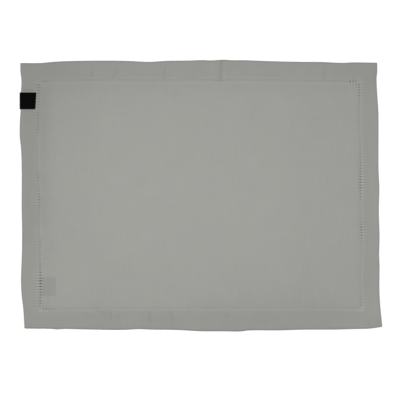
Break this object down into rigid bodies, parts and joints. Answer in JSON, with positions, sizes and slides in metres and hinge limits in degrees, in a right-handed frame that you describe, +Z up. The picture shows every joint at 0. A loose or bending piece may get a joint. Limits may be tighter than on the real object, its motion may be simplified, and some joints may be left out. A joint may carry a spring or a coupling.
{
  "type": "fabric placemat",
  "caption": "Rectangular hemstitched linen placemat lying flat, with a wide folded hem and a small woven label folded over its left side.",
  "frame": {"origin": "on the table, under the middle of the mat's bounding box", "axes": "+X to the right along the long side, +Y to the upper edge, which is nearest the label, +Z up out of the table"},
  "size_m": [0.4868, 0.3649, 0.0041],
  "materials": {
    "linen": "plain-woven warm grey linen, washed and ironed, matt",
    "label_weave": "black satin-woven label, bare, slight sheen",
    "tab_weave": "black woven tape, bare, matt"
  },
  "bodies": {
    "root": {"placemat_cloth": "linen", "side_label": "label_weave", "under_tab": "tab_weave"}
  },
  "joints": []
}
